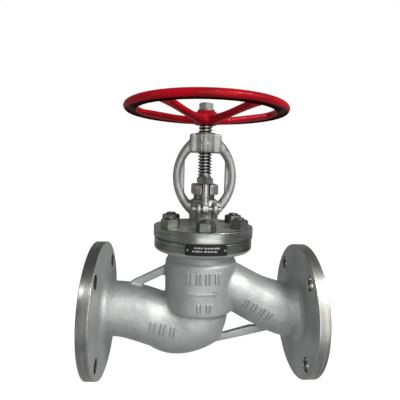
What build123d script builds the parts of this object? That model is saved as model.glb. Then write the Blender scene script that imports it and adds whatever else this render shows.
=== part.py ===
"""Flanged globe valve, DN 65, with a bolted bonnet, an open yoke and a rising, rotating stem.

Millimetres. The origin is where the pipe axis (X, inlet to outlet) crosses the stem axis (Z, up).
The valve is shown closed, with the disc on its seat and the handwheel at its lowest.
"""

from build123d import *
from math import cos, radians, sin
import os

# Pipe ends
face_to_face = 290.0
flange_radius = 87.5
flange_thickness = 14.0
raised_face_radius = 61.0
raised_face_height = 3.0
pipe_radius = 35.5
wall = 4.5
port_radius = pipe_radius - wall
neck_x = 112.0
flange_bolt_circle = 145.0
flange_bolt_hole = 18.0
flange_bolts = 4
end_x = face_to_face / 2
rim_x = end_x - raised_face_height
flange_back_x = rim_x - flange_thickness
inlet_branch_x = -52.0
outlet_branch_x = 50.0
body_neck_z = 70.0

# Body barrel and the joint with the bonnet
barrel_radius = 47.0
barrel_centre_x = -2.0
barrel_bottom_z = 4.0
barrel_neck_radius = 44.0
body_rim_radius = 64.0
body_rim_bottom_z = 86.5
joint_z = 99.0
gasket_thickness = 1.5
chamber_radius = 40.0
chamber_floor_z = 22.0
stud_circle_radius = 50.0
stud_radius = 7.0
stud_count = 6
stud_hole_bottom_z = 86.0

# Seat, disc and stem
seat_bore_radius = 30.0
seat_thread_radius = 34.45
seat_face_z = 26.0
seat_ring_bottom_z = 12.0
disc_radius = 34.0
disc_thickness = 15.0
disc_hub_radius = 18.0
disc_hub_top_z = 62.0
disc_recess_radius = 13.0
stem_radius = 9.0
stem_head_radius = 12.0
stem_head_z = 42.0
stem_head_top_z = 50.0
stem_neck_radius = 8.0
backseat_bottom_z = 93.0
stem_collar_z = 66.0
running_clearance = 0.05

# Bonnet
bonnet_bottom_z = joint_z + gasket_thickness
bonnet_top_z = bonnet_bottom_z + 13.0
bonnet_rim_radius = 65.0
spigot_radius = 39.6
spigot_bottom_z = 94.0
column_radius = 19.0
column_shoulder_z = 140.0
column_top_z = 148.0
column_top_radius = 17.0
box_radius = 14.0
box_floor_z = 120.0
bush_radius = 13.0
bush_top_z = 108.0

# Yoke
arm_centre_x = -19.0
arm_centre_z = 177.0
arm_radius = 55.2
arm_half_thickness = 5.3
arm_half_depth = 6.5
arm_end_angle = 62
window_half_width = 26.3
boss_bottom_z = 208.0
boss_top_z = 232.0
boss_radius = 14.5
boss_half_width = 20.5
boss_half_depth = 9.4
yoke_nut_radius = 12.0

# Gland and its swing bolts
packing_ring_height = 5.4
packing_ring_count = 4
packing_bottom_z = 123.0
packing_top_z = packing_bottom_z + packing_ring_height * packing_ring_count
gland_bottom_z = 155.0
gland_top_z = 168.0
gland_radius = 16.8
gland_ear_reach = 31.5
gland_slot_half_width = 5.3
swing_y = 25.5
pin_z = 137.0
pin_radius = 3.0
pin_half_length = 18.5
eye_radius = 7.2
eye_half_width = 3.8
swing_bolt_radius = 5.0
swing_shank_radius = 4.4
swing_shank_top_z = 152.0
swing_bolt_top_z = 180.0
gland_nut_z = gland_top_z + 0.8
gland_nut_height = 7.0
lug_inner_x = 7.7
lug_outer_x = 12.9
lug_offset_x = 2.2
split_pin_x = 17.4
split_pin_radius = 0.95

# Handwheel
wheel_outer_radius = 105.0
rim_half_width = 9.0
rim_half_height = 6.2
rim_centre_z = 262.5
rim_wall = 2.6
rim_hollow_z = 259.6
rim_centre_radius = wheel_outer_radius - rim_half_width
spoke_count = 5
hub_radius = 15.0
hub_bottom_z = 243.5
hub_top_z = 261.0
square_width = 13.0
wheel_nut_z = 263.0
wheel_nut_height = 8.2
wheel_stud_radius = 6.0

# Nameplate on the body rim
plate_half_angle = 22.5
plate_inner_radius = 64.04
plate_thickness = 0.8
plate_height = 12.0
plate_middle_z = 92.8
rivet_angles = (-110, -70)
rivet_radius = 1.2
rivet_depth = 3.5

os.makedirs("parts", exist_ok=True)


def save(piece, label):
    """Name a finished piece and write it as one STEP file."""
    piece.part.label = label
    export_step(piece.part, f"parts/{label}.step")


def station(x, z, slope):
    """Plane across a passage whose centre line passes (x, z), climbing at slope degrees."""
    run = radians(slope)
    return Plane(origin=(x, 0, z), x_dir=(0, 1, 0), z_dir=(cos(run), 0, sin(run)))


def radial_plane(angle):
    """Upright plane through the stem axis: its x runs out at angle degrees, its y runs up."""
    turn = radians(angle)
    return Plane(origin=(0, 0, 0), x_dir=(cos(turn), sin(turn), 0), z_dir=(sin(turn), -cos(turn), 0))


def facing_plane(angle, reach, z):
    """Plane that faces out from the stem axis at angle degrees, reach away from it."""
    turn = radians(angle)
    out = (cos(turn), sin(turn), 0)
    return Plane(origin=(reach * out[0], reach * out[1], z), x_dir=(-out[1], out[0], 0), z_dir=out)


def passage(stations, inset, joins=()):
    """Smooth tube through oval sections, drawn in by inset for the space inside a wall.

    A tube that bends hard is lofted in runs that meet at the stations listed in joins.
    """
    ends = [0, *joins, len(stations) - 1]
    with BuildPart() as tube:
        for first, last in zip(ends, ends[1:]):
            for x, z, slope, half_height, half_width in stations[first:last + 1]:
                with BuildSketch(station(x, z, slope)):
                    Ellipse(half_width - inset, half_height - inset)
            loft()
    return tube.part


def hexagon_nut(width, height, thread_radius):
    """Hexagon nut standing on the XY plane, its top corners turned off."""
    with BuildPart() as turned:
        Cylinder(width * 0.57, height, align=(Align.CENTER, Align.CENTER, Align.MIN))
        chamfer(turned.edges().group_by(Axis.Z)[-1], length=width * 0.05, length2=width * 0.09)
    with BuildPart() as nut:
        with BuildSketch():
            RegularPolygon(width / 2, 6, major_radius=False)
        extrude(amount=height)
        add(turned.part, mode=Mode.INTERSECT)
        Hole(thread_radius)
    return nut.part


# --- Body ------------------------------------------------------------------------------------

# Each passage is a list of oval sections: x, z, slope, half height, half width.
# The inlet dips under the seat and turns up about a pivot above the crotch of the casting.
crotch_x = -41.0
crotch_z = 25.0
crotch_gap = 6.4
elbow_turns = [
    (-20, 35.6, 37.0),
    (0, 38.3, 38.6),
    (22, 40.2, 40.0),
    (45, 42.8, 40.5),
    (66, 38.3, 37.5),
    (84, 35.6, 36.2),
]
inlet_stations = [
    (-neck_x, 0.0, 0, pipe_radius, pipe_radius),
    (-95.0, -2.2, -11, 35.5, 35.8),
    (-76.0, -7.4, -18, 35.6, 36.3),
]
for turn, half_height, half_width in elbow_turns:
    reach = crotch_gap + half_height
    turn_x = crotch_x + reach * sin(radians(turn))
    turn_z = crotch_z - reach * cos(radians(turn))
    inlet_stations.append((turn_x, turn_z, turn, half_height, half_width))

outlet_stations = [
    (22.0, 42.6, -31, 29.5, 33.0),
    (38.0, 33.5, -31, 30.0, 34.0),
    (55.0, 24.2, -29, 30.4, 34.5),
    (72.0, 15.4, -26, 31.2, 35.0),
    (86.0, 9.2, -21, 32.6, 35.2),
    (98.0, 4.2, -14, 33.8, 35.4),
    (neck_x, 0.0, 0, pipe_radius, pipe_radius),
]
# Inside, the outlet starts as a smaller opening high in the chamber, clear of the seat.
outlet_mouth = [
    (30.0, 46.0, -20, 22.0, 27.0),
    (46.0, 36.0, -30, 22.5, 28.0),
    (58.0, 25.5, -33, 24.5, 30.0),
]

inlet_joins = (3, 6)
inlet_outside = passage(inlet_stations, 0.0, inlet_joins)
inlet_inside = passage(inlet_stations, wall, inlet_joins)
outlet_outside = passage(outlet_stations, 0.0)
outlet_inside = passage(outlet_mouth + [
    (x, z, slope, half_height - wall, half_width - wall)
    for x, z, slope, half_height, half_width in outlet_stations[3:]
], 0.0)


def cast_barrel():
    """Upright barrel with a necked top and the round rim that carries the bonnet."""
    with BuildPart() as barrel:
        with BuildSketch(Plane(origin=(barrel_centre_x, 0, barrel_bottom_z))):
            Circle(barrel_radius)
        extrude(amount=66)
        chamfer(barrel.edges().group_by(Axis.Z)[0], 2.0)
        fillet(barrel.edges().group_by(Axis.Z)[-1], 4.0)
        with BuildSketch(Plane(origin=(barrel_centre_x, 0, 60))):
            Circle(barrel_neck_radius)
        extrude(amount=28)
    return barrel.part


def body_rim():
    """Round upper rim of the body, its underside running in to the neck on a curve."""
    with BuildPart() as rim:
        with BuildSketch(Plane.XZ):
            with BuildLine():
                Polyline((0, 76), (barrel_neck_radius - 2, 76), (barrel_neck_radius - 1, 77.5))
                Spline((barrel_neck_radius - 1, 77.5), (50, 80.5), (58.5, 82.2), (62.6, 84.0),
                       (body_rim_radius, body_rim_bottom_z + 0.5))
                Polyline((body_rim_radius, body_rim_bottom_z + 0.5), (body_rim_radius, joint_z),
                         (0, joint_z), (0, 76))
            make_face()
        revolve(axis=Axis.Z)
        chamfer(rim.edges().group_by(Axis.Z)[-1], 0.6)
    return rim.part


def end_flange():
    """Outlet flange with its raised face and the curved root of the pipe."""
    with BuildPart() as flange:
        with BuildSketch(Plane.XZ):
            with BuildLine():
                Polyline((neck_x, 0), (neck_x, pipe_radius), (flange_back_x - 8, pipe_radius))
                RadiusArc((flange_back_x - 8, pipe_radius), (flange_back_x, pipe_radius + 8), -8)
                Polyline((flange_back_x, pipe_radius + 8), (flange_back_x, flange_radius),
                         (rim_x, flange_radius), (rim_x, raised_face_radius),
                         (end_x, raised_face_radius), (end_x, 0), (neck_x, 0))
            make_face()
        revolve(axis=Axis.X)
        rim_edges = flange.edges().filter_by(GeomType.CIRCLE).sort_by(SortBy.RADIUS)[-2:]
        chamfer(rim_edges, 0.8)
    return flange.part


def flow_arrow():
    """Raised flow arrow on the front of the barrel, standing 0.9 mm proud."""
    with BuildPart() as arrow:
        with BuildSketch(Plane.XZ.offset(30)):
            with Locations((-4, 35.5)):
                Rectangle(34, 2.2)
            with BuildLine():
                Polyline((12, 39.6), (21, 35.5), (12, 31.4), (14.5, 35.5), (12, 39.6))
            make_face()
        extrude(amount=30)
        with Locations((barrel_centre_x, 0, 35)):
            Cylinder(barrel_radius + 0.9, 40, mode=Mode.INTERSECT)
    return arrow.part


barrel_shape = cast_barrel()
rim_shape = body_rim()
outlet_flange_shape = end_flange()
inlet_flange_shape = mirror(outlet_flange_shape, about=Plane.YZ)
arrow_shape = flow_arrow()

# Everything hollow in the casting: passages, ports, chamber and the hole for the seat ring
with BuildPart() as inside:
    for bottom, top, radius in (
        (seat_ring_bottom_z, chamber_floor_z + 1, seat_thread_radius + running_clearance),
        (chamber_floor_z, joint_z + 1, chamber_radius),
    ):
        with BuildSketch(Plane.XY.offset(bottom)):
            Circle(radius)
        extrude(amount=top - bottom)
    for side, lead_in in ((-1, inlet_inside), (1, outlet_inside)):
        add(lead_in)
        with BuildSketch(Plane.YZ.offset(side * neck_x)):
            Circle(port_radius)
        extrude(amount=side * (end_x + 1 - neck_x))

with BuildPart() as casting:
    add(barrel_shape)
    add(rim_shape)
    add(inlet_outside)
    add(outlet_outside)
    add(inlet_flange_shape)
    add(outlet_flange_shape)
    add(arrow_shape)
    add(inside.part, mode=Mode.SUBTRACT)
    for side in (-1, 1):
        with BuildSketch(Plane.YZ.offset(side * (end_x + 1))):
            with PolarLocations(flange_bolt_circle / 2, flange_bolts, start_angle=45):
                Circle(flange_bolt_hole / 2)
        extrude(amount=-side * 22, mode=Mode.SUBTRACT)
    # Blind threaded holes for the bonnet studs, and two rivet holes for the nameplate
    with BuildSketch(Plane.XY.offset(stud_hole_bottom_z)):
        with PolarLocations(stud_circle_radius, stud_count, start_angle=30):
            Circle(stud_radius + running_clearance)
    extrude(amount=20, mode=Mode.SUBTRACT)
    for angle in rivet_angles:
        with BuildSketch(facing_plane(angle, body_rim_radius - rivet_depth, plate_middle_z)):
            Circle(rivet_radius + running_clearance)
        extrude(amount=rivet_depth + 1, mode=Mode.SUBTRACT)

# The casting is one piece of metal. It is stored in lengths that meet on flat planes: the two
# flanges, the two pipe branches, and the neck with the rim; the barrel between them is the body.
casting_blocks = {
    "inlet_flange": (-150, -neck_x, -100, 100),
    "inlet_branch": (-neck_x, inlet_branch_x, -100, body_neck_z),
    "outlet_branch": (outlet_branch_x, neck_x, -100, body_neck_z),
    "outlet_flange": (neck_x, 150, -100, 100),
    "body_neck": (-90, 90, body_neck_z, 120),
}
for label, (low_x, high_x, low_z, high_z) in casting_blocks.items():
    with BuildPart() as casting_length:
        add(casting.part)
        with Locations(((low_x + high_x) / 2, 0, (low_z + high_z) / 2)):
            Box(high_x - low_x, 200, high_z - low_z, mode=Mode.INTERSECT)
    save(casting_length, label)

with BuildPart() as body:
    add(casting.part)
    with Locations(((inlet_branch_x + outlet_branch_x) / 2, 0, body_neck_z - 75)):
        Box(outlet_branch_x - inlet_branch_x, 200, 150, mode=Mode.INTERSECT)
save(body, "body")

# Stiffening ribs of the same casting: inlet pipe to barrel above, elbow to outlet pipe below
rib_outlines = {
    "inlet_rib": [(-98, 31.5), (-93, 37.6), (-43, 62.4), (-43, 50.4), (-76, 34.0), (-82, 30.5)],
    "outlet_rib": [(24.5, -35.5), (68, -23.2), (88, -25.4), (96, -29.2), (60, -37.4), (20, -46.2)],
}
for label, outline in rib_outlines.items():
    with BuildPart() as rib:
        with BuildSketch(Plane.XZ):
            with BuildLine():
                Polyline(*outline, outline[0])
            make_face()
        extrude(amount=4, both=True)
        add(barrel_shape, mode=Mode.SUBTRACT)
        add(inlet_outside, mode=Mode.SUBTRACT)
        add(outlet_outside, mode=Mode.SUBTRACT)
    save(rib, label)


# --- Seat, disc and stem ---------------------------------------------------------------------

with BuildPart() as seat_ring:
    with BuildSketch(Plane.XZ):
        with BuildLine():
            Polyline((seat_bore_radius, seat_ring_bottom_z), (seat_thread_radius, seat_ring_bottom_z),
                     (seat_thread_radius, chamber_floor_z), (37, chamber_floor_z), (37, 24.5),
                     (33.4, seat_face_z), (seat_bore_radius + 0.6, seat_face_z),
                     (seat_bore_radius, 25.4), (seat_bore_radius, seat_ring_bottom_z))
        make_face()
    revolve(axis=Axis.Z)
save(seat_ring, "seat_ring")

# Guided disc with a hub that holds the stem's head
with BuildPart() as disc:
    with BuildSketch(Plane.XZ):
        with BuildLine():
            Polyline((0, seat_face_z - 3), (27, seat_face_z - 3), (29.4, seat_face_z),
                     (disc_radius, seat_face_z), (disc_radius + 1, seat_face_z + 2),
                     (disc_radius + 1, seat_face_z + 9), (28, seat_face_z + disc_thickness),
                     (disc_hub_radius + 2, seat_face_z + disc_thickness + 1),
                     (disc_hub_radius, seat_face_z + disc_thickness + 4),
                     (disc_hub_radius, disc_hub_top_z), (disc_recess_radius, disc_hub_top_z),
                     (disc_recess_radius, stem_head_z - 0.1), (0, stem_head_z - 0.1),
                     (0, seat_face_z - 3))
        make_face()
    revolve(axis=Axis.Z)
save(disc, "disc")

# Ring nut that keeps the stem's head in the disc, with four key slots in its top
with BuildPart() as disc_nut:
    with BuildSketch(Plane.XY.offset(stem_head_top_z + 0.3)):
        Circle(disc_recess_radius)
        Circle(stem_neck_radius + 0.5, mode=Mode.SUBTRACT)
    extrude(amount=13.5)
    with BuildSketch(Plane.XY.offset(61)):
        Rectangle(40, 4)
        Rectangle(4, 40)
    extrude(amount=6, mode=Mode.SUBTRACT)
save(disc_nut, "disc_nut")

with BuildPart() as stem:
    with BuildSketch(Plane.XZ):
        with BuildLine():
            Polyline((0, stem_head_z), (stem_head_radius - 2, stem_head_z),
                     (stem_head_radius, stem_head_z + 2), (stem_head_radius, stem_head_top_z),
                     (stem_neck_radius, stem_head_top_z), (stem_neck_radius, stem_collar_z),
                     (12, stem_collar_z), (12, stem_collar_z + 3), (stem_radius, stem_collar_z + 6),
                     (stem_radius, hub_bottom_z), (0, hub_bottom_z), (0, stem_head_z))
        make_face()
    revolve(axis=Axis.Z)
    with BuildSketch(Plane.XY.offset(hub_bottom_z)):
        Rectangle(square_width, square_width)
        Circle(stem_radius - 0.5, mode=Mode.INTERSECT)
    extrude(amount=hub_top_z - hub_bottom_z - 1)
    with BuildSketch(Plane.XY.offset(hub_top_z - 1)):
        Circle(wheel_stud_radius)
    extrude(amount=wheel_nut_z + wheel_nut_height - hub_top_z + 1)
    chamfer(stem.edges().group_by(Axis.Z)[-1], 1.0)
save(stem, "stem")


# --- Bonnet ----------------------------------------------------------------------------------

with BuildPart() as bonnet_gasket:
    with BuildSketch(Plane.XY.offset(joint_z)):
        Circle(body_rim_radius - 0.6)
        Circle(chamber_radius, mode=Mode.SUBTRACT)
        with PolarLocations(stud_circle_radius, stud_count, start_angle=30):
            Circle(stud_radius + 0.5, mode=Mode.SUBTRACT)
    extrude(amount=gasket_thickness)
save(bonnet_gasket, "bonnet_gasket")


def yoke_arm():
    """Right-hand yoke arm: an oval bar on an arc, with a thin web machined straight inside."""
    with BuildPart() as arm:
        for angle in range(-arm_end_angle, arm_end_angle + 1, 31):
            lean = radians(angle)
            swell = (angle / 50) ** 2
            middle = (arm_centre_x + arm_radius * cos(lean), 0, arm_centre_z + arm_radius * sin(lean))
            across = Plane(origin=middle, x_dir=(0, 1, 0), z_dir=(-sin(lean), 0, cos(lean)))
            with BuildSketch(across):
                Ellipse(arm_half_depth + swell, arm_half_thickness + 1.6 * swell)
        loft()
        with BuildSketch(Plane.XZ):
            with BuildLine():
                Line((window_half_width, 153), (window_half_width, 201))
                ThreePointArc((window_half_width, 201), (33, 177), (window_half_width, 153))
            make_face()
        extrude(amount=3, both=True)
    return arm.part


def pin_lugs():
    """Pair of front lugs that hold a swing bolt's pin, set a little to the right."""
    with BuildPart() as lugs:
        for inner_x in (lug_offset_x + lug_inner_x, lug_offset_x - lug_outer_x):
            with BuildSketch(Plane.YZ.offset(inner_x)):
                with Locations((-swing_y, pin_z)):
                    Circle(eye_radius)
                Polygon((-13, 117), (-13, pin_z + eye_radius), (-swing_y, pin_z + eye_radius),
                        (-swing_y - 6.6, pin_z - 2.8), align=None)
            extrude(amount=lug_outer_x - lug_inner_x)
    return lugs.part


right_arm = yoke_arm()
left_arm = mirror(right_arm, about=Plane.YZ)
front_lugs = pin_lugs()
rear_lugs = front_lugs.rotate(Axis.Z, 180)

with BuildPart() as bonnet:
    # Flange with its spigot, and the stuffing box column, as one turned outline
    with BuildSketch(Plane.XZ):
        with BuildLine():
            Polyline((0, spigot_bottom_z), (spigot_radius, spigot_bottom_z),
                     (spigot_radius, bonnet_bottom_z), (bonnet_rim_radius, bonnet_bottom_z),
                     (bonnet_rim_radius, bonnet_top_z - 0.8), (bonnet_rim_radius - 0.8, bonnet_top_z),
                     (column_radius + 6, bonnet_top_z))
            RadiusArc((column_radius + 6, bonnet_top_z), (column_radius, bonnet_top_z + 6), 6)
            Polyline((column_radius, bonnet_top_z + 6), (column_radius, column_shoulder_z),
                     (column_top_radius, column_shoulder_z + 4), (column_top_radius, column_top_z),
                     (0, column_top_z), (0, spigot_bottom_z))
        make_face()
    revolve(axis=Axis.Z)
    # Flats that make room for the swing bolt eyes
    for side in (-1, 1):
        with Locations((-side * lug_offset_x, side * 26.5, 137)):
            Box(2 * lug_inner_x, 18, 23, mode=Mode.SUBTRACT)
    add(front_lugs)
    add(rear_lugs)
    add(right_arm)
    add(left_arm)
    # Head of the yoke: a round boss with a wing to each side for the arms
    with BuildSketch(Plane.XY.offset(boss_bottom_z)):
        RectangleRounded(2 * boss_half_width, 2 * boss_half_depth, 4)
        Circle(boss_radius)
    extrude(amount=boss_top_z - boss_bottom_z)
    # Stuffing box, stem bore, bush seat and yoke nut seat
    for bottom, top, radius in (
        (spigot_bottom_z - 1, bush_top_z, bush_radius),
        (bush_top_z - 1, box_floor_z + 1, stem_radius + 0.5),
        (box_floor_z, column_top_z + 1, box_radius),
        (boss_bottom_z - 1, boss_top_z + 1, yoke_nut_radius),
    ):
        with BuildSketch(Plane.XY.offset(bottom)):
            Circle(radius)
        extrude(amount=top - bottom, mode=Mode.SUBTRACT)
    with BuildSketch(Plane.XY.offset(bonnet_bottom_z - 1)):
        with PolarLocations(stud_circle_radius, stud_count, start_angle=30):
            Circle(stud_radius + 0.75)
    extrude(amount=20, mode=Mode.SUBTRACT)
    # Pin holes through each pair of lugs, and the set screw hole at the back of the boss
    for side in (-1, 1):
        with Locations(Location((0, side * swing_y, pin_z), (0, 90, 0))):
            Cylinder(pin_radius, 40, mode=Mode.SUBTRACT)
    with Locations(Location((0, 14, 222), (90, 0, 0))):
        Cylinder(2.5, 8, mode=Mode.SUBTRACT)
save(bonnet, "bonnet")

# Bush pressed into the underside of the bonnet; the stem's collar closes on it when fully open
with BuildPart() as back_seat_bush:
    with BuildSketch(Plane.XY.offset(backseat_bottom_z)):
        Circle(bush_radius)
        Circle(stem_radius + 0.35, mode=Mode.SUBTRACT)
    extrude(amount=bush_top_z - backseat_bottom_z)
    with BuildSketch(Plane.XY.offset(backseat_bottom_z)):
        Circle(12)
    extrude(amount=2.8, taper=45, mode=Mode.SUBTRACT)
save(back_seat_bush, "back_seat_bush")

stud_places = [
    (stud_circle_radius * cos(radians(30 + 60 * index)), stud_circle_radius * sin(radians(30 + 60 * index)))
    for index in range(stud_count)
]

with BuildPart() as bonnet_studs:
    with BuildSketch(Plane.XY.offset(stud_hole_bottom_z + 0.5)):
        with Locations(*stud_places):
            Circle(stud_radius)
    extrude(amount=40.5)
    chamfer(bonnet_studs.edges().group_by(Axis.Z)[-1], 1.2)
save(bonnet_studs, "bonnet_studs")

nut_turns = (8, 41, 0, 22, 50, 30)
bonnet_nut = hexagon_nut(21, 11, stud_radius + running_clearance)
with BuildPart() as bonnet_nuts:
    for (x, y), turn in zip(stud_places, nut_turns):
        with Locations(Location((x, y, bonnet_top_z), (0, 0, turn))):
            add(bonnet_nut)
save(bonnet_nuts, "bonnet_nuts")

with BuildPart() as yoke_nut:
    with BuildSketch(Plane.XY.offset(boss_bottom_z)):
        Circle(yoke_nut_radius)
    extrude(amount=boss_top_z - boss_bottom_z)
    with BuildSketch(Plane.XY.offset(boss_top_z)):
        Circle(yoke_nut_radius + 1)
    extrude(amount=1.2)
    with BuildSketch(Plane.XY.offset(boss_bottom_z)):
        Circle(stem_radius + running_clearance)
    extrude(amount=40, mode=Mode.SUBTRACT)
    with Locations(Location((0, 14, 222), (90, 0, 0))):
        Cylinder(2.5, 6, mode=Mode.SUBTRACT)
save(yoke_nut, "yoke_nut")

with BuildPart() as yoke_nut_screw:
    with Locations(Location((0, 12.7, 222), (90, 0, 0))):
        Cylinder(2.45, 3.2)
save(yoke_nut_screw, "yoke_nut_screw")


# --- Gland -----------------------------------------------------------------------------------

with BuildPart() as packing_washer:
    with BuildSketch(Plane.XY.offset(box_floor_z)):
        Circle(box_radius - running_clearance)
        Circle(stem_radius + 0.35, mode=Mode.SUBTRACT)
    extrude(amount=packing_bottom_z - box_floor_z)
save(packing_washer, "packing_washer")

packing_gap = 0.02
with BuildPart() as packing_rings:
    for index in range(packing_ring_count):
        with BuildSketch(Plane.XY.offset(packing_bottom_z + index * packing_ring_height)):
            Circle(box_radius - running_clearance)
            Circle(stem_radius + running_clearance, mode=Mode.SUBTRACT)
        extrude(amount=packing_ring_height - packing_gap)
save(packing_rings, "packing_rings")

# Follower pushed down on the packing by the gland flange
with BuildPart() as gland_bush:
    with BuildSketch(Plane.XY.offset(packing_top_z)):
        Circle(box_radius - 0.2)
        Circle(stem_radius + 0.35, mode=Mode.SUBTRACT)
    extrude(amount=gland_bottom_z - packing_top_z)
    chamfer(gland_bush.edges().group_by(Axis.Z)[0], 0.4)
save(gland_bush, "gland_bush")

# Gland flange: oblong and round-ended, with an open slot at each end for a swing bolt
with BuildPart() as gland_flange:
    with BuildSketch(Plane.XY.offset(gland_bottom_z)):
        SlotCenterToCenter(2 * (gland_ear_reach - gland_radius), 2 * gland_radius, rotation=90)
    extrude(amount=gland_top_z - gland_bottom_z)
    chamfer(gland_flange.edges().group_by(Axis.Z)[-1], 1.6)
    with BuildSketch(Plane.XY.offset(gland_bottom_z)):
        Circle(stem_radius + 0.5)
        for side in (-1, 1):
            with Locations((0, side * swing_y)):
                Circle(gland_slot_half_width)
            with Locations((0, side * (swing_y + 10))):
                Rectangle(2 * gland_slot_half_width, 20)
    extrude(amount=20, mode=Mode.SUBTRACT)
save(gland_flange, "gland_flange")

gland_nut_shape = hexagon_nut(17, gland_nut_height, swing_bolt_radius)

for side, place in ((-1, "front"), (1, "rear")):
    swing_axis = Location((0, side * swing_y, pin_z), (0, 90, 0))
    pin_middle_x = -side * lug_offset_x

    with BuildPart() as swing_bolt:
        with Locations(swing_axis):
            Cylinder(eye_radius, 2 * eye_half_width)
        fillet(swing_bolt.edges(), 1.2)
        for bottom, top, radius in (
            (pin_z, swing_shank_top_z, swing_shank_radius),
            (swing_shank_top_z, swing_bolt_top_z, swing_bolt_radius),
        ):
            with BuildSketch(Plane.XY.offset(bottom)):
                with Locations((0, side * swing_y)):
                    Circle(radius)
            extrude(amount=top - bottom)
        chamfer(swing_bolt.edges().group_by(Axis.Z)[-1], 1.0)
        with Locations(swing_axis):
            Cylinder(pin_radius + running_clearance, 40, mode=Mode.SUBTRACT)
    save(swing_bolt, f"swing_bolt_{place}")

    with BuildPart() as gland_nut:
        with Locations(Location((0, side * swing_y, gland_nut_z), (0, 0, 30))):
            add(gland_nut_shape)
    save(gland_nut, f"gland_nut_{place}")

    # Headed pin, its head to the left and its split pin to the right as that side is faced
    with BuildPart() as swing_pin:
        with Locations(Location((pin_middle_x, side * swing_y, pin_z), (0, 90, 0))):
            Cylinder(pin_radius, 2 * pin_half_length)
        head_x = pin_middle_x + side * (pin_half_length - 1)
        with Locations(Location((head_x, side * swing_y, pin_z), (0, 90, 0))):
            Cylinder(pin_radius + 1.4, 2)
        chamfer(swing_pin.edges().group_by(Axis.X)[0], 0.6)
        chamfer(swing_pin.edges().group_by(Axis.X)[-1], 0.6)
        with Locations((-side * split_pin_x, side * swing_y, pin_z)):
            Cylinder(split_pin_radius + running_clearance, 12, mode=Mode.SUBTRACT)
    save(swing_pin, f"swing_pin_{place}")

# Split pins: an eye above each pin, and two legs spread below it
with BuildPart() as split_pins:
    for side in (-1, 1):
        split_x = -side * split_pin_x
        middle_y = side * swing_y
        with Locations((split_x, middle_y, pin_z)):
            Cylinder(split_pin_radius, 9)
        with Locations(Location((split_x, middle_y, pin_z + 6.4), (0, 90, 0))):
            Torus(1.9, 0.85)
        for lean in (-50, 50):
            leg = Plane(origin=(split_x, middle_y, pin_z - 4.2)).rotated((lean, 0, 0))
            with BuildSketch(leg):
                Circle(0.7)
            extrude(amount=-4)
save(split_pins, "split_pins")


# --- Nameplate -------------------------------------------------------------------------------

# A sheet metal plate bent round the front of the body rim, held by two rivets
with BuildPart() as nameplate:
    with BuildSketch(radial_plane(-90 - plate_half_angle)):
        with Locations((plate_inner_radius + plate_thickness / 2, plate_middle_z)):
            Rectangle(plate_thickness, plate_height)
    revolve(axis=Axis.Z, revolution_arc=2 * plate_half_angle)
    for angle in rivet_angles:
        with BuildSketch(facing_plane(angle, body_rim_radius - 2, plate_middle_z)):
            Circle(rivet_radius + running_clearance)
        extrude(amount=6, mode=Mode.SUBTRACT)
save(nameplate, "nameplate")

with BuildPart() as nameplate_rivets:
    for angle in rivet_angles:
        with BuildSketch(facing_plane(angle, body_rim_radius - rivet_depth + 0.5, plate_middle_z)):
            Circle(rivet_radius)
        extrude(amount=rivet_depth + 0.5)
        head_plane = facing_plane(angle, plate_inner_radius + plate_thickness + 0.04, plate_middle_z)
        with BuildSketch(head_plane):
            Circle(2.1)
        extrude(amount=0.9, taper=30)
save(nameplate_rivets, "nameplate_rivets")


# --- Handwheel -------------------------------------------------------------------------------

# Oval sections of a spoke: distance from the axis, height, half width, half thickness
spoke_sections = [
    (9.0, 250.5, 9.0, 6.0),
    (28.0, 251.5, 6.8, 4.8),
    (52.0, 255.5, 6.2, 4.3),
    (76.0, 260.0, 8.0, 4.2),
    (92.0, 262.5, 11.0, 4.2),
]
with BuildPart() as spoke_shape:
    for reach, height, half_width, half_thickness in spoke_sections:
        with BuildSketch(Plane(origin=(reach, 0, height), x_dir=(0, 1, 0), z_dir=(1, 0, 0.12))):
            Ellipse(half_width, half_thickness)
    loft()
spoke = spoke_shape.part

# The rim is an oval shell, hollow and open underneath; the hub is solid
with BuildPart() as handwheel:
    with BuildSketch(Plane.XZ):
        with Locations((rim_centre_radius, rim_centre_z)):
            Ellipse(rim_half_width, rim_half_height)
    revolve(axis=Axis.Z)
    with BuildSketch(Plane.XZ):
        with BuildLine():
            Polyline((0, hub_bottom_z), (13.5, hub_bottom_z), (17, hub_bottom_z + 4),
                     (17, hub_bottom_z + 12), (hub_radius - 1, hub_top_z - 2),
                     (hub_radius - 2.5, hub_top_z), (0, hub_top_z), (0, hub_bottom_z))
        make_face()
    revolve(axis=Axis.Z)
    with PolarLocations(0, spoke_count, start_angle=90):
        add(spoke)
    with BuildSketch(Plane.XZ):
        with Locations((rim_centre_radius, rim_hollow_z)):
            Ellipse(rim_half_width - rim_wall, rim_half_height - 0.4)
    revolve(axis=Axis.Z, mode=Mode.SUBTRACT)
    with BuildSketch(Plane.XY.offset(hub_bottom_z)):
        Rectangle(square_width, square_width)
        Circle(stem_radius - 0.5, mode=Mode.INTERSECT)
    extrude(amount=hub_top_z - hub_bottom_z, mode=Mode.SUBTRACT)
save(handwheel, "handwheel")

with BuildPart() as wheel_washer:
    with BuildSketch(Plane.XY.offset(hub_top_z)):
        Circle(11)
        Circle(wheel_stud_radius + 0.3, mode=Mode.SUBTRACT)
    extrude(amount=wheel_nut_z - hub_top_z)
save(wheel_washer, "wheel_washer")

wheel_nut_shape = hexagon_nut(18, wheel_nut_height, wheel_stud_radius)
with BuildPart() as wheel_nut:
    with Locations(Location((0, 0, wheel_nut_z), (0, 0, 24))):
        add(wheel_nut_shape)
save(wheel_nut, "wheel_nut")
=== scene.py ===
"""Globe valve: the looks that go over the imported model. Metres, +Z up the stem, -Y to the nameplate."""

import bmesh
import bpy
import numpy as np
from math import cos, hypot, inf, pi, radians, sin, tan
from mathutils import Matrix, Vector


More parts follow.
